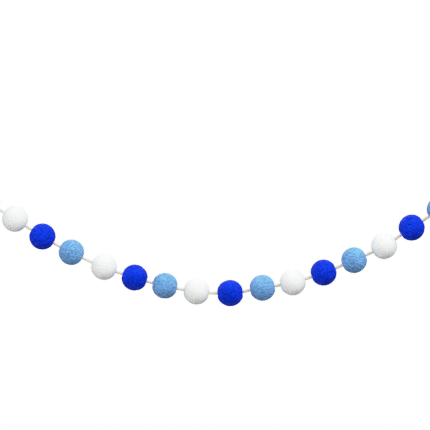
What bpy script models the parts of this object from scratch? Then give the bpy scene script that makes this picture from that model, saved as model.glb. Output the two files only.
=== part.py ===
"""Felt ball garland: wool felt balls in a light blue, white and royal blue repeat, threaded on a
three-ply twine that hangs as one shallow swag from a tied loop at each end.

Metres, +Z up. The origin is the point of the left loop that bears on its hook. +X runs to the right
loop, and the front faces -Y.
"""

import math
from collections import namedtuple

import bmesh
import bpy
import numpy as np

MM = 0.001

# Driving sizes
SPAN = 556 * MM
STRING_RADIUS = 1.6 * MM
FIT_GAP = 0.3 * MM

# The twine's twist: three plies, drawn as ridges on a ring of nine points
PLIES = 3
POINTS_PER_PLY = 3
TURN_LENGTH = 7.2 * MM
RINGS_PER_TURN = 7
FLANK_SHARE = 0.78
TWIST_STEP = TURN_LENGTH / RINGS_PER_TURN
HIDDEN_STEP = 6 * MM
TWIST_INSIDE_BALL = 1 * MM

# The balls
BEND_ALLOWANCE = 0.2 * MM
BORE_RADIUS = STRING_RADIUS + FIT_GAP + BEND_ALLOWANCE
BALL_SIDES = 16
BALL_RINGS = 10
UNEVENNESS = 0.012
LUMPS_ACROSS = (3, 4, 3)
DIMPLE_DEPTH = 0.3 * MM
DIMPLE_WIDTH = 0.2

# The end loops, measured from the hook along the string
LOOP_NECK = 26 * MM
KNOT_LENGTH = 9 * MM
KNOT_RIDGE = 0.5 * MM
KNOT_RIDGE_PITCH = 2.9 * MM
KNOT_STEP = 0.65 * MM
KNOT_SIDES = 16
KNOT_DEPTH_SHARE = 0.92
TAIL_DROP = 14 * MM

# The balls from left to right: felt, centre across and above the hooks, and diameter, in millimetres
Ball = namedtuple("Ball", "felt x z diameter")
BALLS = (
    Ball("light_blue", 47.1, -34.7, 25.2),
    Ball("white", 75.0, -51.9, 25.9),
    Ball("royal_blue", 102.5, -69.5, 25.8),
    Ball("light_blue", 131.4, -85.2, 25.1),
    Ball("white", 164.1, -100.0, 26.0),
    Ball("royal_blue", 194.6, -110.6, 25.7),
    Ball("light_blue", 224.9, -118.8, 25.2),
    Ball("white", 256.5, -124.5, 26.0),
    Ball("royal_blue", 290.1, -126.1, 25.9),
    Ball("light_blue", 322.4, -120.8, 25.4),
    Ball("white", 352.7, -115.5, 25.9),
    Ball("royal_blue", 383.5, -105.6, 25.6),
    Ball("light_blue", 414.0, -93.2, 25.3),
    Ball("white", 444.0, -79.0, 25.9),
    Ball("royal_blue", 471.7, -60.6, 25.7),
    Ball("light_blue", 499.6, -42.3, 25.2),
)

# One side of a loop's strand, in millimetres: distance from the hook along the string, and off its line
LoopPoint = namedtuple("LoopPoint", "along off")
LOOP_SIDE = (
    LoopPoint(29.0, 1.8),
    LoopPoint(25.0, 2.0),
    LoopPoint(18.0, 4.4),
    LoopPoint(10.5, 6.3),
    LoopPoint(4.0, 6.2),
    LoopPoint(-0.2, 3.7),
)
LOOP_TOP = LoopPoint(-1.6, 0.0)

# Where the cut tail starts in its knot and leaves it, in millimetres, as seen from the hook
TailPoint = namedtuple("TailPoint", "along front below")
TAIL_START = TailPoint(30.5, 0.8, 1.7)
TAIL_MOUTH = TailPoint(33.2, 1.5, 3.4)
TAIL_SHARES = (0.4, 0.7, 1.0)

# The knot's outline, as shares of its length and radii in millimetres
KnotRow = namedtuple("KnotRow", "share radius")
KNOT_PROFILE = (
    KnotRow(0.00, 2.7),
    KnotRow(0.12, 3.9),
    KnotRow(0.35, 4.6),
    KnotRow(0.62, 4.6),
    KnotRow(0.85, 3.7),
    KnotRow(1.00, 2.2),
)

# The twine and the three felts as linear red, green and blue
COLOURS = {
    "light_blue": (0.156, 0.347, 0.631),
    "white": (0.87, 0.90, 0.90),
    "royal_blue": (0.011, 0.043, 0.578),
    "twine": (0.78, 0.73, 0.66),
}
FELT_ROUGHNESS = 0.95

SAMPLES_PER_POINT = 40
DIRECTION_REACH = 0.2 * MM
SHARP_ANGLE = math.radians(50)
BACK = np.array([0.0, 1.0, 0.0])


class Route:
    """A smooth curve through hand-chosen points, read by the distance along it."""

    def __init__(self, points):
        points = np.array(points, float)
        chords = np.linalg.norm(np.diff(points, axis=0), axis=1)
        slopes = np.gradient(points, np.concatenate([[0], np.cumsum(chords)]), axis=0)
        share = np.linspace(0, 1, SAMPLES_PER_POINT, endpoint=False)[:, None]
        back = 1 - share
        stretches = [
            back**2 * ((1 + 2 * share) * points[i] + share * chord * slopes[i])
            + share**2 * ((1 + 2 * back) * points[i + 1] - back * chord * slopes[i + 1])
            for i, chord in enumerate(chords)
        ]
        self.samples = np.concatenate(stretches + [points[-1:]])
        steps = np.linalg.norm(np.diff(self.samples, axis=0), axis=1)
        self.distances = np.concatenate([[0], np.cumsum(steps)])
        self.stops = self.distances[::SAMPLES_PER_POINT]
        self.length = self.distances[-1]

    def point(self, distance):
        return np.array([np.interp(distance, self.distances, axis) for axis in self.samples.T])

    def direction(self, distance):
        run = self.point(distance + DIRECTION_REACH) - self.point(distance - DIRECTION_REACH)
        return run / np.linalg.norm(run)


def clear_scene():
    for obj in list(bpy.data.objects):
        bpy.data.objects.remove(obj)


def make_materials():
    materials = {}
    for name, colour in COLOURS.items():
        material = bpy.data.materials.new(name)
        material.use_nodes = True
        shader = material.node_tree.nodes["Principled BSDF"]
        shader.inputs["Base Color"].default_value = (*colour, 1)
        shader.inputs["Roughness"].default_value = FELT_ROUGHNESS
        shader.inputs["Metallic"].default_value = 0
        materials[name] = material
    return materials


def ring_solid(name, rings, material, closes_on_itself=False):
    """A solid skinned over rings of points. Its ends are capped, or meet as in a ball with a bore."""
    solid = bmesh.new()
    rows = [[solid.verts.new(point) for point in ring] for ring in rings]
    pairs = list(zip(rows, rows[1:]))
    if closes_on_itself:
        pairs.append((rows[-1], rows[0]))
    else:
        solid.faces.new(rows[0])
        solid.faces.new(rows[-1])
    for near, far in pairs:
        for i in range(len(near)):
            j = (i + 1) % len(near)
            solid.faces.new((near[i], near[j], far[j], far[i]))
    bmesh.ops.recalc_face_normals(solid, faces=solid.faces)
    mesh = bpy.data.meshes.new(name)
    solid.to_mesh(mesh)
    solid.free()
    mesh.materials.append(material)
    mesh.shade_smooth()
    mesh.set_sharp_from_angle(angle=SHARP_ANGLE)
    obj = bpy.data.objects.new(name, mesh)
    bpy.context.collection.objects.link(obj)
    return obj


def twine_rings(route, distances, turned_lengths):
    """Three-lobed rings along a route, each turned by the length of twist that lies before it."""
    sides = PLIES * POINTS_PER_PLY
    rings = []
    for distance, turned in zip(distances, turned_lengths):
        centre = route.point(distance)
        direction = route.direction(distance)
        across = np.cross(direction, BACK)
        across /= np.linalg.norm(across)
        inward = np.cross(across, direction)
        ring = []
        for i in range(sides):
            angle = 2 * math.pi * (i / sides + turned / TURN_LENGTH)
            radius = STRING_RADIUS * (FLANK_SHARE if i % POINTS_PER_PLY else 1)
            ring.append(centre + radius * (math.cos(angle) * across + math.sin(angle) * inward))
        rings.append(ring)
    return rings


def evenly(start, end, step):
    """Distances from start to end, no further apart than the step."""
    return np.linspace(start, end, max(2, math.ceil((end - start) / step) + 1))


def string_route():
    """The string's line from knot to knot, through the centre of every ball."""
    centres = [np.array([ball.x, 0, ball.z]) * MM for ball in BALLS]
    ends = []
    for hook, ball in ((np.zeros(3), centres[0]), (np.array([SPAN, 0, 0]), centres[-1])):
        towards = (ball - hook) / np.linalg.norm(ball - hook)
        ends.append(hook + towards * (LOOP_NECK + KNOT_LENGTH + FIT_GAP))
    return Route([ends[0], *centres, ends[1]])


def add_string(route, material):
    """The twine, twisted wherever it shows and plain inside the balls."""
    breaks = [0.0]
    for ball, stop in zip(BALLS, route.stops[1:-1]):
        hidden = ball.diameter * MM / 2 - TWIST_INSIDE_BALL
        breaks += [stop - hidden, stop + hidden]
    breaks.append(route.length)
    distances = [0.0]
    turned = [0.0]
    for i, (start, end) in enumerate(zip(breaks, breaks[1:])):
        shown = i % 2 == 0
        stretch = evenly(start, end, TWIST_STEP if shown else HIDDEN_STEP)[1:]
        turned += [turned[-1] + (distance - start if shown else 0) for distance in stretch]
        distances += list(stretch)
    return ring_solid("string", twine_rings(route, distances, turned), material)


def ball_point(angle, turn, radius, number):
    """A point of a ball's uneven skin: the angle from the string's line, and the turn about it."""
    way = np.array([
        math.cos(angle),
        math.sin(angle) * math.sin(turn),
        math.sin(angle) * math.cos(turn),
    ])
    shifts = (number, 2 * number, -number)
    lumps = [math.sin(n * side + shift) for n, side, shift in zip(LUMPS_ACROSS, way, shifts)]
    from_mouth = min(angle, math.pi - angle) - math.asin(BORE_RADIUS / radius)
    dip = DIMPLE_DEPTH * math.exp(-((from_mouth / DIMPLE_WIDTH) ** 2))
    return way * (radius * (1 + UNEVENNESS * sum(lumps) / len(lumps)) - dip)


def turns_about(sides):
    return [2 * math.pi * side / sides for side in range(sides)]


def bore_ring(along, lift):
    """A ring of the bore about local X, lifted to stay on the string where it bends."""
    return [
        (along, BORE_RADIUS * math.sin(turn), lift + BORE_RADIUS * math.cos(turn))
        for turn in turns_about(BALL_SIDES)
    ]


def add_ball(number, ball, route, stop, material):
    """An uneven ball about local X, dimpled at its mouths, with a bore that bends with the string."""
    radius = ball.diameter * MM / 2
    mouth = math.asin(BORE_RADIUS / radius)
    centre = route.point(stop)
    direction = route.direction(stop)
    upward = np.cross(direction, BACK)
    reach = radius * math.cos(mouth) - DIMPLE_DEPTH
    lifts = [np.dot(route.point(stop + way * reach) - centre, upward) for way in (1, -1)]
    skin = [
        [ball_point(angle, turn, radius, number) for turn in turns_about(BALL_SIDES)]
        for angle in np.linspace(mouth, math.pi - mouth, BALL_RINGS)[1:-1]
    ]
    bore = [bore_ring(-reach, lifts[1]), bore_ring(0, 0), bore_ring(reach, lifts[0])]
    obj = ring_solid(f"ball_{number:02d}", skin + bore, material, closes_on_itself=True)
    obj.location = centre
    obj.rotation_euler = (0, math.atan2(-direction[2], direction[0]), 0)
    return obj


def knot_rings():
    """The knot about local X: a short barrel with the wrapped twine as a screw-like ridge."""
    shares = [row.share for row in KNOT_PROFILE]
    radii = [row.radius * MM for row in KNOT_PROFILE]
    rings = []
    for along in evenly(0, KNOT_LENGTH, KNOT_STEP):
        share = along / KNOT_LENGTH
        base = np.interp(share, shares, radii)
        ridge = KNOT_RIDGE * math.sin(math.pi * share)
        ring = []
        for turn in turns_about(KNOT_SIDES):
            radius = base + ridge * math.cos(2 * math.pi * along / KNOT_RIDGE_PITCH - turn)
            depth = radius * KNOT_DEPTH_SHARE * math.cos(turn)
            ring.append((LOOP_NECK + along, depth, radius * math.sin(turn)))
        rings.append(ring)
    return rings


def loop_route():
    """The loop's strand about local X, from inside the knot round the hook and back."""
    side = [np.array([point.along, 0, point.off]) * MM for point in LOOP_SIDE]
    top = np.array([LOOP_TOP.along, 0, LOOP_TOP.off]) * MM
    return Route([*side, top, *(point * (1, 1, -1) for point in reversed(side))])


def tail_route(slope):
    """The string's cut end: out of the knot beside the string, then straight down."""
    down = np.array([math.sin(slope), 0, -math.cos(slope)])
    start, mouth = (
        np.array([point.along, -point.front, -point.below]) * MM for point in (TAIL_START, TAIL_MOUTH)
    )
    return Route([start, mouth, *(mouth + down * TAIL_DROP * share for share in TAIL_SHARES)])


def helper_twine(name, route, material, parent):
    """A closed length of twine that another solid takes in."""
    distances = evenly(0, route.length, TWIST_STEP)
    obj = ring_solid(name, twine_rings(route, distances, distances), material)
    obj.parent = parent
    obj.hide_render = True
    obj.display_type = "WIRE"
    return obj


def add_end_loop(name, hook, ball, material):
    """A loop for a hook, its knot and its tail, as one solid that points from the hook to the ball."""
    run = ball - hook
    slope = math.atan2(-run[2], abs(run[0]))
    heading = 0 if run[0] > 0 else math.pi
    seat = bpy.data.objects.new(name + "_hook", None)
    seat.location = hook
    seat.rotation_euler = (0, slope, heading)
    bpy.context.collection.objects.link(seat)
    knot = ring_solid(name, knot_rings(), material)
    knot.parent = seat
    strands = (
        helper_twine(name + "_strand", loop_route(), material, seat),
        helper_twine(name + "_tail", tail_route(slope), material, seat),
    )
    for strand in strands:
        union = knot.modifiers.new(strand.name, "BOOLEAN")
        union.operation = "UNION"
        union.object = strand
    return knot


def main():
    clear_scene()
    materials = make_materials()
    route = string_route()
    add_string(route, materials["twine"])
    for number, (ball, stop) in enumerate(zip(BALLS, route.stops[1:-1]), 1):
        add_ball(number, ball, route, stop, materials[ball.felt])
    first = np.array([BALLS[0].x, 0, BALLS[0].z]) * MM
    last = np.array([BALLS[-1].x, 0, BALLS[-1].z]) * MM
    add_end_loop("left_loop", np.zeros(3), first, materials["twine"])
    add_end_loop("right_loop", np.array([SPAN, 0, 0]), last, materials["twine"])


main()
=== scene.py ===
"""Finish of the felt ball garland: needled wool balls with their curls, fuzz and dimpled string holes,
three-ply cotton twine, and a tied loop with a cut tail at each end. Metres, in the frame's own axes.
"""

import math
from collections import namedtuple

import bmesh
import bpy
import numpy as np
from mathutils import Euler, Matrix, Vector


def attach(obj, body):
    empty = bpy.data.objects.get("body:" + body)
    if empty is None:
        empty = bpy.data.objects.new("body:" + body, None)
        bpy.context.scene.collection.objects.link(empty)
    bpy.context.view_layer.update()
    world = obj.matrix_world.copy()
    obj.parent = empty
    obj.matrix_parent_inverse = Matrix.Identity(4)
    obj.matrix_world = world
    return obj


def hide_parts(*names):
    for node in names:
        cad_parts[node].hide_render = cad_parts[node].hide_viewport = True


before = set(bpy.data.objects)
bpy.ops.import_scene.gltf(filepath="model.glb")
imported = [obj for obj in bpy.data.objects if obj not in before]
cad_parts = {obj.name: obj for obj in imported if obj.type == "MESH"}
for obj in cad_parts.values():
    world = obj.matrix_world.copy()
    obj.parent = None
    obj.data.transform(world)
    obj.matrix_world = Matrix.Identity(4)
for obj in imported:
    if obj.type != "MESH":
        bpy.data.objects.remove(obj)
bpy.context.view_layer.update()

MM = 0.001
BODY = "root"
BACK = Vector((0, 1, 0))

# View: level, square on, and wide enough for the stretch of the swag in the photograph
VIEW_CENTRE = Vector((0.275, 0, -0.048))
VIEW_DISTANCE = 2.0
VIEW_WIDTH = 0.430
SENSOR_WIDTH = 36.0

# String and balls, the same as the solids
SPAN = 556 * MM
TURN_LENGTH = 7.2 * MM
LOOP_NECK = 26 * MM
KNOT_LENGTH = 9 * MM
FIT_GAP = 0.3 * MM
TAIL_DROP = 14 * MM
STRING_TUCK = 2.5 * MM

# Curves: samples for each point, the reach over which a direction is taken, and its inset at an end
SAMPLES_PER_POINT = 40
DIRECTION_REACH = 0.2 * MM
END_INSET = 0.5 * MM

# The balls from left to right: felt, centre against the left hook, and diameter, in millimetres
Ball = namedtuple("Ball", "felt x z diameter")
BALLS = (
    Ball("light_blue", 47.1, -34.7, 25.2),
    Ball("white", 75.0, -51.9, 25.9),
    Ball("royal_blue", 102.5, -69.5, 25.8),
    Ball("light_blue", 131.4, -85.2, 25.1),
    Ball("white", 164.1, -100.0, 26.0),
    Ball("royal_blue", 194.6, -110.6, 25.7),
    Ball("light_blue", 224.9, -118.8, 25.2),
    Ball("white", 256.5, -124.5, 26.0),
    Ball("royal_blue", 290.1, -126.1, 25.9),
    Ball("light_blue", 322.4, -120.8, 25.4),
    Ball("white", 352.7, -115.5, 25.9),
    Ball("royal_blue", 383.5, -105.6, 25.6),
    Ball("light_blue", 414.0, -93.2, 25.3),
    Ball("white", 444.0, -79.0, 25.9),
    Ball("royal_blue", 471.7, -60.6, 25.7),
    Ball("light_blue", 499.6, -42.3, 25.2),
)

# One side of a loop's strand, in millimetres: distance from the hook along the string, and off its line
LoopPoint = namedtuple("LoopPoint", "along off")
LOOP_SIDE = (
    LoopPoint(29.0, 1.8),
    LoopPoint(25.0, 2.0),
    LoopPoint(18.0, 4.4),
    LoopPoint(10.5, 6.3),
    LoopPoint(4.0, 6.2),
    LoopPoint(-0.2, 3.7),
)
LOOP_TOP = LoopPoint(-1.6, 0.0)

# Where the cut tail starts in its knot and leaves it, in millimetres, as seen from the hook
TailPoint = namedtuple("TailPoint", "along front below")
TAIL_START = TailPoint(30.5, 0.8, 1.7)
TAIL_MOUTH = TailPoint(33.2, 1.5, 3.4)
TAIL_SHARES = (0.4, 0.7, 1.0)

# How far the plies open at the cut end, against their own offset, and how late along the tail
TAIL_OPENING = 0.45
TAIL_OPENING_POWER = 6

# The twine wound round the knot, with a sixth of its run at each end to come out from under itself
WRAP_PITCH = 2.9 * MM
WRAP_RADIUS = 3.1 * MM
WRAP_TUCKED_RADIUS = 1.5 * MM
WRAP_START = LOOP_NECK + 1.3 * MM
WRAP_END = LOOP_NECK + 7.7 * MM
WRAP_POINTS = 90
WRAP_TUCK_RATE = 6
WRAP_DEPTH_SHARE = 0.92


class Route:
    """A smooth curve through given points, read by the distance along it."""

    def __init__(self, points):
        points = np.array(points, float)
        chords = np.linalg.norm(np.diff(points, axis=0), axis=1)
        slopes = np.gradient(points, np.concatenate([[0], np.cumsum(chords)]), axis=0)
        share = np.linspace(0, 1, SAMPLES_PER_POINT, endpoint=False)[:, None]
        back = 1 - share
        stretches = [
            back**2 * ((1 + 2 * share) * points[i] + share * chord * slopes[i])
            + share**2 * ((1 + 2 * back) * points[i + 1] - back * chord * slopes[i + 1])
            for i, chord in enumerate(chords)
        ]
        self.samples = np.concatenate(stretches + [points[-1:]])
        steps = np.linalg.norm(np.diff(self.samples, axis=0), axis=1)
        self.distances = np.concatenate([[0], np.cumsum(steps)])
        self.stops = self.distances[::SAMPLES_PER_POINT]
        self.length = self.distances[-1]

    def point(self, distance):
        return np.array([np.interp(distance, self.distances, axis) for axis in self.samples.T])

    def direction(self, distance):
        run = self.point(distance + DIRECTION_REACH) - self.point(distance - DIRECTION_REACH)
        return run / np.linalg.norm(run)


# Winding ridges: scales and reach against their spacing, and how far the sets stand apart
SWIRL_SCALE = 0.35
SWIRL_REACH = 1.8
RIDGE_SCALE = 0.6
SET_SHIFT = (3.1, 1.7, 2.3)


class Tree:
    """A node tree with short calls, where an input takes a value or another node's output."""

    def __init__(self, tree):
        self.tree = tree

    def set(self, node, key, value):
        socket = node.inputs[key]
        if isinstance(value, bpy.types.NodeSocket):
            self.tree.links.new(value, socket)
        else:
            socket.default_value = value

    def add(self, kind, inputs=None, **settings):
        node = self.tree.nodes.new(kind)
        for name, value in settings.items():
            setattr(node, name, value)
        for key, value in (inputs or {}).items():
            self.set(node, key, value)
        return node

    def math(self, operation, *values, clamp=False):
        node = self.add("ShaderNodeMath", dict(enumerate(values)), operation=operation)
        node.use_clamp = clamp
        return node.outputs[0]

    def vector(self, operation, *values):
        node = self.add("ShaderNodeVectorMath", dict(enumerate(values)), operation=operation)
        return node.outputs["Vector"]

    def scaled(self, vector, factor):
        inputs = {0: vector, "Scale": factor}
        return self.add("ShaderNodeVectorMath", inputs, operation="SCALE").outputs["Vector"]

    def combine(self, x, y, z):
        return self.add("ShaderNodeCombineXYZ", {0: x, 1: y, 2: z}).outputs[0]

    def ramp(self, value, low, high, start=0.0, end=1.0, smooth=False):
        """The value mapped from low..high to start..end, and held at both ends."""
        kind = "SMOOTHSTEP" if smooth else "LINEAR"
        inputs = {"Value": value, 1: low, 2: high, 3: start, 4: end}
        return self.add("ShaderNodeMapRange", inputs, interpolation_type=kind, clamp=True).outputs[0]

    def noise(self, place, scale, detail=0.0, roughness=0.5):
        """Noise about 0.5 whose scale is in waves to the metre."""
        inputs = {"Vector": place, "Scale": scale, "Detail": detail, "Roughness": roughness}
        return self.add("ShaderNodeTexNoise", inputs)

    def curls(self, place, spacing, width, sets=2):
        """Sets of winding ridges that cross, from 0 in the hollows to 1 on the crests."""
        swirl = self.noise(place, self.math("DIVIDE", SWIRL_SCALE, spacing)).outputs["Color"]
        reach = self.math("MULTIPLY", spacing, SWIRL_REACH)
        wound = self.vector("ADD", place, self.scaled(swirl, reach))
        scale = self.math("DIVIDE", RIDGE_SCALE, spacing)
        crests = 0.0
        for number in range(sets):
            shift = tuple(step * number for step in SET_SHIFT)
            noise = self.noise(self.vector("ADD", wound, shift), scale)
            from_middle = self.math("ABSOLUTE", self.math("SUBTRACT", noise.outputs[0], 0.5))
            ridge = self.ramp(from_middle, 0.0, width, 1.0, 0.0, smooth=True)
            crests = self.math("MAXIMUM", crests, ridge)
        return crests


def new_geometry_tree(name, inputs):
    """An empty Geometry Nodes tree with named inputs, and its Tree, its inputs' outlets and its end."""
    group = bpy.data.node_groups.new(name, "GeometryNodeTree")
    group.interface.new_socket("Geometry", in_out="INPUT", socket_type="NodeSocketGeometry")
    for label, kind in inputs.items():
        group.interface.new_socket(label, in_out="INPUT", socket_type=f"NodeSocket{kind}")
    group.interface.new_socket("Geometry", in_out="OUTPUT", socket_type="NodeSocketGeometry")
    tree = Tree(group)
    start = tree.add("NodeGroupInput")
    end = tree.add("NodeGroupOutput")
    return group, tree, start.outputs, end


# A stray fibre: heights of its root and tip, and its bow as shares of its length
FIBRE_ROOT = -0.15 * MM
FIBRE_TIP = 0.1 * MM
FIBRE_BOW = 0.45
FIBRE_RISE = 0.3
FIBRE_STEPS = 4
FIBRE_SIDES = 3
FIBRE_LEAST = (0.5, 0.1, 0.3)
FIBRE_MOST = (1.3, 1.4, 1.5)
SPIN_SEED = 1
SIZE_SEED = 2


def stray_fibre(tree, length, thickness):
    """One fibre that starts under the surface, bows up and sideways, and comes down again."""
    half = tree.math("MULTIPLY", length, 0.5)
    sideways = tree.math("MULTIPLY", length, FIBRE_BOW)
    upward = tree.math("MULTIPLY", length, FIBRE_RISE)
    bow = tree.add("GeometryNodeCurveQuadraticBezier", {
        "Resolution": FIBRE_STEPS,
        "Start": tree.combine(tree.math("MULTIPLY", half, -1), 0.0, FIBRE_ROOT),
        "Middle": tree.combine(0.0, sideways, upward),
        "End": tree.combine(half, 0.0, FIBRE_TIP),
    })
    section = tree.add("GeometryNodeCurvePrimitiveCircle", {
        "Resolution": FIBRE_SIDES, "Radius": thickness,
    })
    return tree.add("GeometryNodeCurveToMesh", {
        0: bow.outputs[0], 1: section.outputs[0], "Fill Caps": True,
    }).outputs[0]


def add_fuzz(tree, surface, chosen, density, length, thickness, seed):
    """Short stray fibres that bow over a surface."""
    fibre = stray_fibre(tree, length, thickness)
    scatter = tree.add("GeometryNodeDistributePointsOnFaces", {
        "Mesh": surface, "Selection": chosen, "Density": density, "Seed": seed,
    })
    spin = tree.add("FunctionNodeRandomValue", {
        2: 0.0, 3: 2 * math.pi, "Seed": SPIN_SEED,
    }, data_type="FLOAT")
    turned = tree.add("FunctionNodeRotateRotation", {
        0: scatter.outputs["Rotation"],
        1: tree.add("FunctionNodeEulerToRotation", {0: tree.combine(0.0, 0.0, spin.outputs[1])}).outputs[0],
    }, rotation_space="LOCAL")
    size = tree.add("FunctionNodeRandomValue", {
        0: FIBRE_LEAST, 1: FIBRE_MOST, "Seed": SIZE_SEED,
    }, data_type="FLOAT_VECTOR")
    return tree.add("GeometryNodeInstanceOnPoints", {
        "Points": scatter.outputs["Points"], "Instance": fibre,
        "Rotation": turned.outputs[0], "Scale": size.outputs[0],
    }).outputs[0]


def named(tree, geometry, name, value, kind="FLOAT"):
    """The geometry with one more named value at each point."""
    inputs = {"Geometry": geometry, "Name": name, "Value": value}
    return tree.add("GeometryNodeStoreNamedAttribute", inputs, data_type=kind, domain="POINT").outputs[0]


def finish_tree(tree, end, parts, material):
    """All the parts together, with their instances made real and one material."""
    join = tree.add("GeometryNodeJoinGeometry")
    for part in reversed(parts):
        tree.tree.links.new(part, join.inputs[0])
    real = tree.add("GeometryNodeRealizeInstances", {0: join.outputs[0]})
    painted = tree.add("GeometryNodeSetMaterial", {"Geometry": real.outputs[0], "Material": material})
    tree.set(end, 0, painted.outputs[0])


# Felted skin: fades by the string holes in radians, noise scales in waves to the metre
MOUTH_FADE = 0.2
DIMPLE_WIDTH = 0.15
LUMP_SCALE = 70.0
CURL_WIDTH = 0.15
PILE_SCALE = 900.0
PILE_DETAIL = 2.0
WELD = 0.01 * MM
FUZZ_FROM = 0.3

BALL_INPUTS = {
    "Radius": "Float", "Bore": "Float", "Dimple": "Float", "Far lift": "Float", "Near lift": "Float",
    "Shift": "Vector", "Lumps": "Float", "Curl depth": "Float", "Curl spacing": "Float",
    "Pile depth": "Float", "Sides": "Int", "Rows": "Int", "Bore rows": "Int", "Fibres": "Float",
    "Fibre length": "Float", "Fibre radius": "Float", "Seed": "Int", "Felt": "Material",
}


def wool_relief(tree, given, way):
    """How far lumps, curls and pile raise the skin along each way out, and where the crests are."""
    spot = tree.vector("ADD", tree.scaled(way, given["Radius"]), given["Shift"])
    lumps = tree.noise(spot, LUMP_SCALE).outputs[0]
    curls = tree.curls(spot, given["Curl spacing"], CURL_WIDTH)
    pile = tree.noise(spot, PILE_SCALE, detail=PILE_DETAIL).outputs[0]
    raised = tree.math("MULTIPLY", tree.math("SUBTRACT", lumps, 0.5), given["Lumps"])
    raised = tree.math("MULTIPLY_ADD", tree.math("SUBTRACT", curls, 0.5), given["Curl depth"], raised)
    raised = tree.math("MULTIPLY_ADD", tree.math("SUBTRACT", pile, 0.5), given["Pile depth"], raised)
    return raised, curls


def bent_with_string(tree, given, point, in_bore, bore_way, skin):
    """Points lifted as the string bends, most at the mouths of the bore and not at all on the skin."""
    along = tree.add("ShaderNodeSeparateXYZ", {0: point}).outputs[0]
    lift = tree.add("GeometryNodeSwitch", {
        0: tree.math("GREATER_THAN", along, 0.0), 1: given["Near lift"], 2: given["Far lift"],
    }, input_type="FLOAT")
    follow = tree.add("GeometryNodeSwitch", {
        0: in_bore, 1: tree.math("SUBTRACT", 1, skin), 2: tree.math("MULTIPLY", bore_way, bore_way),
    }, input_type="FLOAT")
    upward = tree.combine(0.0, 0.0, tree.math("MULTIPLY", lift.outputs[0], follow.outputs[0]))
    return tree.vector("ADD", point, upward)


def ball_fuzz(tree, given, surface):
    """Stray wool on the outside of a ball, none by its string holes."""
    outside = tree.add("GeometryNodeInputNamedAttribute", {"Name": "outside"}, data_type="FLOAT")
    chosen = tree.math("GREATER_THAN", outside.outputs[0], FUZZ_FROM)
    square = tree.math("MULTIPLY", given["Radius"], given["Radius"])
    density = tree.math("DIVIDE", given["Fibres"], tree.math("MULTIPLY", square, 4 * math.pi))
    fuzz = add_fuzz(
        tree, surface, chosen, density, given["Fibre length"], given["Fibre radius"], given["Seed"],
    )
    # The stray fibres take the crest colour, with none of the hollows' painted shade
    return named(tree, fuzz, "crest", 1.0)


def ball_tree():
    """A felted ball about local X: one sheet of points rolled into the skin and back through the bore."""
    group, tree, given, end = new_geometry_tree("felt_ball", BALL_INPUTS)
    across = tree.math("ADD", given["Sides"], 1)
    sheet = tree.add("GeometryNodeMeshGrid", {0: 1.0, 1: 1.0, 2: across, 3: given["Rows"]}).outputs[0]
    place = tree.add("ShaderNodeSeparateXYZ", {0: tree.add("GeometryNodeInputPosition").outputs[0]})
    round_share = tree.math("ADD", place.outputs[0], 0.5)
    row_share = tree.math("ADD", place.outputs[1], 0.5)
    turn = tree.math("MULTIPLY", round_share, 2 * math.pi)
    row_steps = tree.math("SUBTRACT", given["Rows"], 1)
    skin_end = tree.math("SUBTRACT", 1, tree.math("DIVIDE", given["Bore rows"], row_steps))
    skin_share = tree.ramp(row_share, 0.0, skin_end)
    bore_share = tree.ramp(row_share, skin_end, 1.0)
    mouth_reach = tree.math("SUBTRACT", given["Radius"], given["Dimple"])
    mouth = tree.math("ARCSINE", tree.math("DIVIDE", given["Bore"], mouth_reach))
    skin_angle = tree.math("SUBTRACT", math.pi, tree.math("MULTIPLY", mouth, 2))
    angle = tree.math("MULTIPLY_ADD", skin_share, skin_angle, mouth)
    outward = tree.math("SINE", angle)
    sideways = tree.math("SINE", turn)
    upward = tree.math("COSINE", turn)
    way = tree.combine(
        tree.math("COSINE", angle),
        tree.math("MULTIPLY", outward, sideways),
        tree.math("MULTIPLY", outward, upward),
    )
    nearest = tree.math("MINIMUM", skin_share, tree.math("SUBTRACT", 1, skin_share))
    from_mouth = tree.math("MULTIPLY", nearest, skin_angle)
    skin = tree.ramp(from_mouth, 0.0, MOUTH_FADE, smooth=True)

    raised, curls = wool_relief(tree, given, way)
    closeness = tree.math("DIVIDE", from_mouth, DIMPLE_WIDTH)
    dip = tree.math("EXPONENT", tree.math("MULTIPLY", tree.math("MULTIPLY", closeness, closeness), -1))
    reach = tree.math("SUBTRACT", given["Radius"], tree.math("MULTIPLY", dip, given["Dimple"]))
    skin_point = tree.scaled(way, tree.math("MULTIPLY_ADD", raised, skin, reach))

    half_bore = tree.math("MULTIPLY", mouth_reach, tree.math("COSINE", mouth))
    bore_way = tree.math("MULTIPLY_ADD", bore_share, 2, -1)
    bore_point = tree.combine(
        tree.math("MULTIPLY", bore_way, half_bore),
        tree.math("MULTIPLY", given["Bore"], sideways),
        tree.math("MULTIPLY", given["Bore"], upward),
    )
    in_bore = tree.math("GREATER_THAN", bore_share, 0.0)
    point = tree.add("GeometryNodeSwitch", {0: in_bore, 1: skin_point, 2: bore_point}, input_type="VECTOR")
    # The curls' crests are stored for the felt's painted shade, which darkens the hollows between them
    shaped = tree.add("GeometryNodeSetPosition", {
        "Geometry": named(tree, sheet, "crest", tree.math("MULTIPLY", curls, skin)),
        "Position": bent_with_string(tree, given, point.outputs[0], in_bore, bore_way, skin),
    })
    outside = named(tree, shaped.outputs[0], "outside", skin)
    closed = tree.add("GeometryNodeMergeByDistance", {"Geometry": outside, "Distance": WELD})
    smooth = tree.add("GeometryNodeSetShadeSmooth", {"Geometry": closed.outputs[0]}).outputs[0]
    finish_tree(tree, end, [smooth, ball_fuzz(tree, given, smooth)], given["Felt"])
    return group


PLIES = 3

TWINE_INPUTS = {
    "Step": "Float", "Turn length": "Float", "Ply offset": "Float", "Ply radius": "Float",
    "Ply sides": "Int", "Fibre turn": "Float", "Fibres": "Float", "Fibre length": "Float",
    "Fibre radius": "Float", "Seed": "Int", "Cotton": "Material",
}


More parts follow.
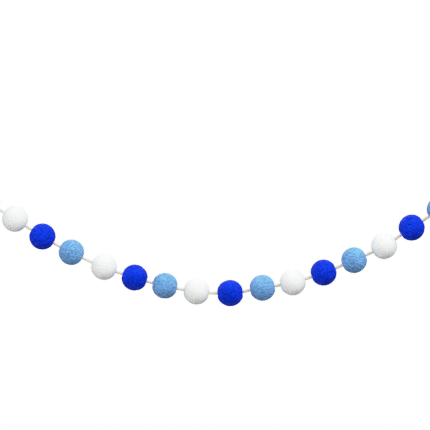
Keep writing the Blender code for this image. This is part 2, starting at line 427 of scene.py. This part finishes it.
def twine_tree():
    """Three plies laid round each route of the given edges, with their fibres' lines and stray fuzz."""
    group, tree, given, end = new_geometry_tree("three_ply_twine", TWINE_INPUTS)
    routes = tree.add("GeometryNodeMeshToCurve", {0: given["Geometry"]}).outputs[0]
    even = tree.add("GeometryNodeResampleCurve", {"Curve": routes, "Length": given["Step"]}, mode="LENGTH")
    plies = tree.add("GeometryNodeDuplicateElements", {
        "Geometry": even.outputs[0], "Amount": PLIES,
    }, domain="SPLINE")
    travelled = tree.add("GeometryNodeSplineParameter").outputs["Length"]
    measured = tree.add("GeometryNodeCaptureAttribute", {"Geometry": plies.outputs[0]}, domain="POINT")
    measured.capture_items.new("FLOAT", "Travelled")
    tree.set(measured, 1, travelled)
    ply_share = tree.math("DIVIDE", plies.outputs["Duplicate Index"], PLIES)
    turns = tree.math("ADD", ply_share, tree.math("DIVIDE", travelled, given["Turn length"]))
    angle = tree.math("MULTIPLY", turns, 2 * math.pi)
    normal = tree.add("GeometryNodeInputNormal").outputs[0]
    tangent = tree.add("GeometryNodeInputTangent").outputs[0]
    side = tree.vector("CROSS_PRODUCT", normal, tangent)
    spread = tree.add("GeometryNodeInputNamedAttribute", {"Name": "opened"}, data_type="FLOAT")
    off = tree.math("MULTIPLY", given["Ply offset"], tree.math("ADD", spread.outputs[0], 1))
    offset = tree.vector(
        "ADD",
        tree.scaled(normal, tree.math("MULTIPLY", off, tree.math("COSINE", angle))),
        tree.scaled(side, tree.math("MULTIPLY", off, tree.math("SINE", angle))),
    )
    laid = tree.add("GeometryNodeSetPosition", {"Geometry": measured.outputs[0], "Offset": offset})
    section = tree.add("GeometryNodeCurvePrimitiveCircle", {
        "Resolution": given["Ply sides"], "Radius": given["Ply radius"],
    })
    ringed = tree.add("GeometryNodeCaptureAttribute", {"Geometry": section.outputs[0]}, domain="POINT")
    ringed.capture_items.new("FLOAT", "Round")
    tree.set(ringed, 1, tree.add("GeometryNodeSplineParameter").outputs["Factor"])
    solid = tree.add("GeometryNodeCurveToMesh", {
        0: laid.outputs[0], 1: ringed.outputs[0], "Fill Caps": True,
    })
    fibre_turn = tree.math("DIVIDE", measured.outputs[1], given["Fibre turn"])
    about = tree.math("MULTIPLY", tree.math("ADD", ringed.outputs[1], fibre_turn), 2 * math.pi)
    strand = tree.combine(tree.math("COSINE", about), tree.math("SINE", about), measured.outputs[1])
    lined = named(tree, solid.outputs[0], "strand", strand, "FLOAT_VECTOR")
    smooth = tree.add("GeometryNodeSetShadeSmooth", {"Geometry": lined}).outputs[0]
    fuzz = add_fuzz(
        tree, smooth, True, given["Fibres"], given["Fibre length"], given["Fibre radius"], given["Seed"],
    )
    finish_tree(tree, end, [smooth, fuzz], given["Cotton"])
    return group


def grown(name, mesh, group, values):
    """The plain mesh that a Geometry Nodes tree makes of a mesh, as an object with no modifier."""
    obj = bpy.data.objects.new(name, mesh)
    bpy.context.scene.collection.objects.link(obj)
    modifier = obj.modifiers.new(group.name, "NODES")
    modifier.node_group = group
    sockets = {
        item.name: item.identifier for item in group.interface.items_tree
        if item.item_type == "SOCKET" and item.in_out == "INPUT"
    }
    for label, value in values.items():
        modifier[sockets[label]] = value
    bpy.context.view_layer.update()
    evaluated = obj.evaluated_get(bpy.context.evaluated_depsgraph_get())
    made = bpy.data.meshes.new_from_object(evaluated)
    finish = made.materials[-1]
    made.materials.clear()
    made.materials.append(finish)
    obj.modifiers.remove(modifier)
    obj.data = made
    made.name = name
    return obj


def edges_mesh(name, routes):
    """Routes as lines of edges. Each route is its points and how far its plies open at each."""
    points, edges, opened = [], [], []
    for route, openness in routes:
        first = len(points)
        points += [tuple(point) for point in route]
        edges += [(first + i, first + i + 1) for i in range(len(route) - 1)]
        opened += list(openness)
    mesh = bpy.data.meshes.new(name)
    mesh.from_pydata(points, edges, [])
    mesh.attributes.new("opened", "FLOAT", "POINT").data.foreach_set("value", opened)
    return mesh


def string_route():
    """The string's line from knot to knot, through the centre of every ball."""
    centres = [np.array([ball.x, 0, ball.z]) * MM for ball in BALLS]
    ends = []
    for hook, ball in ((np.zeros(3), centres[0]), (np.array([SPAN, 0, 0]), centres[-1])):
        towards = (ball - hook) / np.linalg.norm(ball - hook)
        ends.append(hook + towards * (LOOP_NECK + KNOT_LENGTH + FIT_GAP))
    return Route([ends[0], *centres, ends[1]])


def material(name, roughness, gloss, sheen, sheen_roughness):
    """A new material's Tree and its shader, with the values that are the same all over."""
    made = bpy.data.materials.new(name)
    made.use_nodes = True
    shader = made.node_tree.nodes["Principled BSDF"]
    shader.inputs["Roughness"].default_value = roughness
    shader.inputs["Specular IOR Level"].default_value = gloss
    shader.inputs["Sheen Weight"].default_value = sheen
    shader.inputs["Sheen Roughness"].default_value = sheen_roughness
    return made, Tree(made.node_tree), shader


def mixed(tree, share, low, high):
    """A colour between two others."""
    node = tree.add("ShaderNodeMix", {0: share, 6: low, 7: high}, data_type="RGBA")
    return node.outputs[2]


# Felts: linear colours of the hollows, darkened with painted shade, and of the crests, the gloss and the
# sheen, the shader's own values, and how deep the curls and the fine tangle are
Felt = namedtuple("Felt", (
    "hollow", "crest", "gloss", "sheen", "gloss_level", "gloss_spread", "sheen_level", "subsurface",
    "curl_depth", "relief",
))
FELTS = {
    "light_blue": Felt(
        hollow=(0.065, 0.225, 0.54), crest=(0.198, 0.487, 0.875),
        gloss=(0.7, 0.95, 1.0), sheen=(1.0, 0.85, 0.7),
        gloss_level=0.3, gloss_spread=0.75, sheen_level=0.15, subsurface=0.0,
        curl_depth=0.75 * MM, relief=0.15 * MM,
    ),
    "white": Felt(
        hollow=(0.90, 0.95, 0.92), crest=(0.96, 1.0, 0.97),
        gloss=(1.0, 1.0, 1.0), sheen=(1.0, 1.0, 1.0),
        gloss_level=0.2, gloss_spread=0.75, sheen_level=0.4, subsurface=0.5,
        curl_depth=0.25 * MM, relief=0.14 * MM,
    ),
    "royal_blue": Felt(
        hollow=(0.001, 0.001, 0.28), crest=(0.007, 0.028, 1.0),
        gloss=(0.0, 0.5, 1.0), sheen=(0.0, 0.45, 1.0),
        gloss_level=0.55, gloss_spread=0.5, sheen_level=0.03, subsurface=0.0,
        curl_depth=0.75 * MM, relief=0.15 * MM,
    ),
}
TANGLE_SPACING = 1.1 * MM
TANGLE_WIDTH = 0.1
STRAND_SPACING = 0.5 * MM
STRAND_WIDTH = 0.05
STRAND_SETS = 4
PATCH_SCALE = 110.0
PATCH_DETAIL = 2.0

# How much the wool is lighter on the ridges of the curls, the tangle and the single strands, with painted
# shade in the hollows between them, and how much the patches of random tone lighten it
CREST_PAINTED_SHADE = 0.45
TANGLE_PAINTED_SHADE = 0.35
STRAND_PAINTED_SHADE = 0.3
PATCH_TONE = 0.6

# How high the tangle and the strands stand in the fine relief
TANGLE_HEIGHT = 0.8
STRAND_HEIGHT = 0.5
RELIEF_STRENGTH = 0.8

WOOL_SHEEN_SPREAD = 0.8
WOOL_SCATTER = 12 * MM


def felt_material(name, felt):
    """Needled wool: painted shade in the hollows between the curls and the finer tangle of single fibres,
    lighter ridges, and patches of random tone.
    """
    made, tree, shader = material(
        f"felt_{name}", felt.gloss_spread, felt.gloss_level, felt.sheen_level, WOOL_SHEEN_SPREAD,
    )
    shader.inputs["Sheen Tint"].default_value = (*felt.sheen, 1)
    shader.inputs["Specular Tint"].default_value = (*felt.gloss, 1)
    place = tree.add("ShaderNodeTexCoord").outputs["Object"]
    crest = tree.add("ShaderNodeAttribute", attribute_name="crest").outputs["Fac"]
    tangle = tree.curls(place, TANGLE_SPACING, TANGLE_WIDTH)
    strands = tree.curls(place, STRAND_SPACING, STRAND_WIDTH, STRAND_SETS)
    patches = tree.noise(place, PATCH_SCALE, detail=PATCH_DETAIL).outputs[0]
    patches = tree.math("SUBTRACT", patches, 0.5)
    # Painted shade: darker in the hollows between the curls, the tangle and the strands, lighter on their
    # ridges; the patches are the wool's random tone
    shade_and_tone = tree.math("MULTIPLY_ADD", tangle, TANGLE_PAINTED_SHADE, tree.math("MULTIPLY", crest, CREST_PAINTED_SHADE))
    shade_and_tone = tree.math("MULTIPLY_ADD", strands, STRAND_PAINTED_SHADE, shade_and_tone)
    shade_and_tone = tree.math("MULTIPLY_ADD", patches, PATCH_TONE, shade_and_tone, clamp=True)
    tree.set(shader, "Base Color", mixed(tree, shade_and_tone, (*felt.hollow, 1), (*felt.crest, 1)))
    height = tree.math("MULTIPLY", tangle, TANGLE_HEIGHT)
    height = tree.math("MULTIPLY_ADD", strands, STRAND_HEIGHT, height)
    bump = tree.add("ShaderNodeBump", {
        "Strength": RELIEF_STRENGTH, "Distance": felt.relief, "Height": height,
    })
    tree.set(shader, "Normal", bump.outputs[0])
    if felt.subsurface:
        outside = tree.add("ShaderNodeAttribute", attribute_name="outside").outputs["Fac"]
        tree.set(shader, "Subsurface Weight", tree.math("MULTIPLY", outside, felt.subsurface))
        shader.inputs["Subsurface Radius"].default_value = (1.0, 1.0, 1.0)
        shader.inputs["Subsurface Scale"].default_value = WOOL_SCATTER
    return made


COTTON_SHADE = (0.76, 0.665, 0.535)
COTTON_LIGHT = (0.905, 0.84, 0.735)
COTTON_ROUGHNESS = 0.85
COTTON_GLOSS = 0.15
COTTON_SHEEN = 0.15
COTTON_SHEEN_SPREAD = 0.4

# Fibres of a ply: pattern across it and along it, the span from shade to light, and their relief
FIBRE_PATTERN = (1.0, 1.0, 90.0)
FIBRE_SCALE = 5.0
FIBRE_DETAIL = 3.0
FIBRE_ROUGHNESS = 0.6
FIBRE_SHADE = 0.3
FIBRE_LIGHT = 0.65
FIBRE_RELIEF = 0.1 * MM
FIBRE_RELIEF_STRENGTH = 0.7


def cotton_material():
    """Off-white cotton yarn, its fibres drawn along each ply."""
    made, tree, shader = material(
        "twine_cotton", COTTON_ROUGHNESS, COTTON_GLOSS, COTTON_SHEEN, COTTON_SHEEN_SPREAD,
    )
    strand = tree.add("ShaderNodeAttribute", attribute_name="strand").outputs["Vector"]
    drawn = tree.vector("MULTIPLY", strand, FIBRE_PATTERN)
    fibres = tree.noise(drawn, FIBRE_SCALE, detail=FIBRE_DETAIL, roughness=FIBRE_ROUGHNESS).outputs[0]
    share = tree.ramp(fibres, FIBRE_SHADE, FIBRE_LIGHT)
    tree.set(shader, "Base Color", mixed(tree, share, (*COTTON_SHADE, 1), (*COTTON_LIGHT, 1)))
    bump = tree.add("ShaderNodeBump", {
        "Strength": FIBRE_RELIEF_STRENGTH, "Distance": FIBRE_RELIEF, "Height": fibres,
    })
    tree.set(shader, "Normal", bump.outputs[0])
    return made


def add_camera():
    """A level camera, square on to the swag."""
    lens = bpy.data.cameras.new("camera")
    lens.sensor_width = SENSOR_WIDTH
    lens.lens = SENSOR_WIDTH * VIEW_DISTANCE / VIEW_WIDTH
    camera = bpy.data.objects.new("camera", lens)
    camera.location = VIEW_CENTRE - BACK * VIEW_DISTANCE
    camera.rotation_euler = (math.pi / 2, 0, 0)
    bpy.context.scene.collection.objects.link(camera)
    bpy.context.scene.camera = camera


# The plies lie a little wider than the solid, because three plies look narrower than the round about them
TWINE = {
    "Step": 0.5 * MM, "Turn length": TURN_LENGTH, "Ply offset": 0.88 * MM, "Ply radius": 0.86 * MM,
    "Ply sides": 8, "Fibre turn": -5.0 * MM, "Fibres": 60000.0, "Fibre length": 2.4 * MM,
    "Fibre radius": 0.025 * MM,
}


def add_string(route, tree, cotton):
    """The string through all the balls."""
    first, last = route.samples[0], route.samples[-1]
    start = first - route.direction(END_INSET) * STRING_TUCK
    stop = last + route.direction(route.length - END_INSET) * STRING_TUCK
    path = [start, *route.samples, stop]
    mesh = edges_mesh("twine", [(path, [0.0] * len(path))])
    piece = grown("twine", mesh, tree, {**TWINE, "Seed": 1, "Cotton": cotton})
    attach(piece, BODY)
    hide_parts("string")


def wrap_route():
    """The turns of twine round the knot, about local X, with both ends tucked under."""
    points = []
    for share in np.linspace(0, 1, WRAP_POINTS):
        along = WRAP_START + share * (WRAP_END - WRAP_START)
        turn = 2 * math.pi * (along - LOOP_NECK) / WRAP_PITCH
        raised = min(1.0, WRAP_TUCK_RATE * min(share, 1 - share))
        radius = WRAP_TUCKED_RADIUS + (WRAP_RADIUS - WRAP_TUCKED_RADIUS) * math.sin(raised * math.pi / 2)
        points.append((along, WRAP_DEPTH_SHARE * radius * math.cos(turn), radius * math.sin(turn)))
    return points


def loop_route():
    """The loop's strand about local X, from inside the knot round the hook and back."""
    side = [np.array([point.along, 0, point.off]) * MM for point in LOOP_SIDE]
    top = np.array([LOOP_TOP.along, 0, LOOP_TOP.off]) * MM
    return Route([*side, top, *(point * (1, 1, -1) for point in reversed(side))]).samples


def tail_route(slope):
    """The string's cut end: out of the knot beside the string, then straight down."""
    down = np.array([math.sin(slope), 0, -math.cos(slope)])
    start, mouth = (
        np.array([point.along, -point.front, -point.below]) * MM for point in (TAIL_START, TAIL_MOUTH)
    )
    return Route([start, mouth, *(mouth + down * TAIL_DROP * share for share in TAIL_SHARES)]).samples


def add_end_loop(name, node, hook, ball, tree, cotton, seed):
    """A tied loop for a hook, with the twine wound round its neck and a tail whose plies open."""
    run = ball - hook
    slope = math.atan2(-run.z, abs(run.x))
    heading = 0 if run.x > 0 else math.pi
    loop, wrap, tail = loop_route(), wrap_route(), tail_route(slope)
    routes = (
        (loop, [0.0] * len(loop)),
        (wrap, [0.0] * len(wrap)),
        (tail, TAIL_OPENING * np.linspace(0, 1, len(tail)) ** TAIL_OPENING_POWER),
    )
    mesh = edges_mesh(name, routes)
    piece = grown(name, mesh, tree, {**TWINE, "Seed": seed, "Cotton": cotton})
    piece.data.transform(Matrix.Translation(hook) @ Euler((0, slope, heading)).to_matrix().to_4x4())
    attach(piece, BODY)
    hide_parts(node)


# What all the balls have in common, the string holes fitted to the twine
WOOL = {
    "Bore": 1.75 * MM, "Dimple": 0.3 * MM, "Lumps": 0.35 * MM, "Curl spacing": 1.6 * MM,
    "Pile depth": 0.05 * MM, "Sides": 168, "Rows": 96, "Bore rows": 8,
    "Fibres": 500.0, "Fibre length": 2.8 * MM, "Fibre radius": 0.013 * MM,
}

# How far the wool's pattern moves from each ball to the next, so that no two are alike
PATTERN_STEP = 0.1
PATTERN_WAY = (1, 2.3, -1.7)


def add_ball(number, ball, route, stop, tree, felts):
    """One felted ball on the string, with a bore that bends as the string does."""
    radius = ball.diameter * MM / 2
    centre = route.point(stop)
    direction = route.direction(stop)
    upward = np.cross(direction, np.array(BACK))
    lifts = [np.dot(route.point(stop + way * radius) - centre, upward) for way in (1, -1)]
    felt = FELTS[ball.felt]
    shift = Vector([number * way for way in PATTERN_WAY]) * PATTERN_STEP
    piece = grown(f"felt_ball_{number:02d}", bpy.data.meshes.new("ball"), tree, {
        **WOOL, "Radius": radius, "Far lift": lifts[0], "Near lift": lifts[1], "Shift": shift,
        "Curl depth": felt.curl_depth, "Seed": number, "Felt": felts[ball.felt],
    })
    turn = Euler((0, math.atan2(-direction[2], direction[0]), 0)).to_matrix().to_4x4()
    piece.data.transform(Matrix.Translation(centre) @ turn)
    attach(piece, BODY)
    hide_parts(f"ball_{number:02d}")


FLOOR_LEVEL = -1.7
FLOOR_RADIUS = 1.3
FLOOR_SIDES = 96
FLOOR_FADE = (0.4 * FLOOR_RADIUS, 0.98 * FLOOR_RADIUS)
FLOOR_COLOUR = (0.82, 0.82, 0.82)
FLOOR_ROUGHNESS = 0.9
FLOOR_GLOSS = 0.15


def add_floor():
    """A pale floor well under the garland, fading out at its rim."""
    floor = bmesh.new()
    bmesh.ops.create_circle(floor, cap_ends=True, segments=FLOOR_SIDES, radius=FLOOR_RADIUS)
    mesh = bpy.data.meshes.new("floor")
    floor.to_mesh(mesh)
    floor.free()
    mesh.transform(Matrix.Translation((VIEW_CENTRE.x, 0, FLOOR_LEVEL)))
    made, tree, shader = material("floor_paper", FLOOR_ROUGHNESS, FLOOR_GLOSS, 0.0, 0.5)
    shader.inputs["Base Color"].default_value = (*FLOOR_COLOUR, 1)
    place = tree.add("ShaderNodeTexCoord").outputs["Object"]
    from_middle = tree.vector("SUBTRACT", place, (VIEW_CENTRE.x, 0, 0))
    flat = tree.vector("MULTIPLY", from_middle, (1, 1, 0))
    distance = tree.add("ShaderNodeVectorMath", {0: flat}, operation="LENGTH").outputs["Value"]
    tree.set(shader, "Alpha", tree.ramp(distance, *FLOOR_FADE, 1.0, 0.0, smooth=True))
    mesh.materials.append(made)
    piece = bpy.data.objects.new("floor", mesh)
    bpy.context.scene.collection.objects.link(piece)


# Soft boxes: place and size in metres, power in watts
SoftBox = namedtuple("SoftBox", "name place size power")
SOFT_BOXES = (
    SoftBox("key", (1.5, -0.8, 1.3), 0.9, 24.0),
    SoftBox("front", (0.0, -1.9, 0.9), 1.0, 16.5),
    SoftBox("left", (-1.3, -0.9, 0.1), 1.2, 5.5),
    SoftBox("back", (0.1, 1.6, 0.9), 1.4, 8.0),
)

# The surround's light from straight below and straight above
DOME_BELOW = 0.11
DOME_ABOVE = 0.88

# Light in the scene against light in the picture, which is 1 from the full light on
FULL_LIGHT = 1.4
SHOULDER = ((0.35, 0.35), (0.7, 0.7), (0.9, 0.83), (1.15, 0.92))


def add_lights():
    """Soft boxes, and a white surround that lights less than it shows."""
    for box in SOFT_BOXES:
        lamp = bpy.data.lights.new(box.name, "AREA")
        lamp.shape = "DISK"
        lamp.size = box.size
        lamp.energy = box.power
        light = bpy.data.objects.new(box.name, lamp)
        light.location = box.place
        aim = VIEW_CENTRE - light.location
        light.rotation_euler = aim.to_track_quat("-Z", "Y").to_euler()
        bpy.context.scene.collection.objects.link(light)
    world = bpy.data.worlds.new("studio")
    bpy.context.scene.world = world
    world.use_nodes = True
    tree = Tree(world.node_tree)
    world.node_tree.nodes.clear()
    way = tree.add("ShaderNodeSeparateXYZ", {0: tree.add("ShaderNodeTexCoord").outputs["Generated"]})
    strength = tree.ramp(way.outputs[2], -1.0, 1.0, DOME_BELOW, DOME_ABOVE)
    lighting = tree.add("ShaderNodeBackground", {0: (1, 1, 1, 1), 1: strength})
    seen = tree.add("ShaderNodeBackground", {0: (1, 1, 1, 1), 1: FULL_LIGHT})
    path = tree.add("ShaderNodeLightPath")
    mix = tree.add("ShaderNodeMixShader", {
        0: path.outputs["Is Camera Ray"], 1: lighting.outputs[0], 2: seen.outputs[0],
    })
    tree.add("ShaderNodeOutputWorld", {0: mix.outputs[0]})


def set_film():
    """The shoulder of a camera's film, which keeps white wool off the white of the background."""
    view = bpy.context.scene.view_settings
    view.view_transform = "Standard"
    view.use_curve_mapping = True
    view.curve_mapping.white_level = (FULL_LIGHT, FULL_LIGHT, FULL_LIGHT)
    points = view.curve_mapping.curves[3].points
    for light, shown in SHOULDER:
        points.new(light / FULL_LIGHT, shown)
    view.curve_mapping.update()


def main():
    add_camera()
    cotton = cotton_material()
    felts = {name: felt_material(name, felt) for name, felt in FELTS.items()}
    route = string_route()
    twine = twine_tree()
    add_string(route, twine, cotton)
    first, last = (Vector((ball.x, 0, ball.z)) * MM for ball in (BALLS[0], BALLS[-1]))
    add_end_loop("loop_left", "left_loop", Vector((0, 0, 0)), first, twine, cotton, 2)
    add_end_loop("loop_right", "right_loop", Vector((SPAN, 0, 0)), last, twine, cotton, 3)
    balls = ball_tree()
    for number, (ball, stop) in enumerate(zip(BALLS, route.stops[1:-1]), 1):
        add_ball(number, ball, route, stop, balls, felts)
    add_floor()
    add_lights()
    set_film()


main()
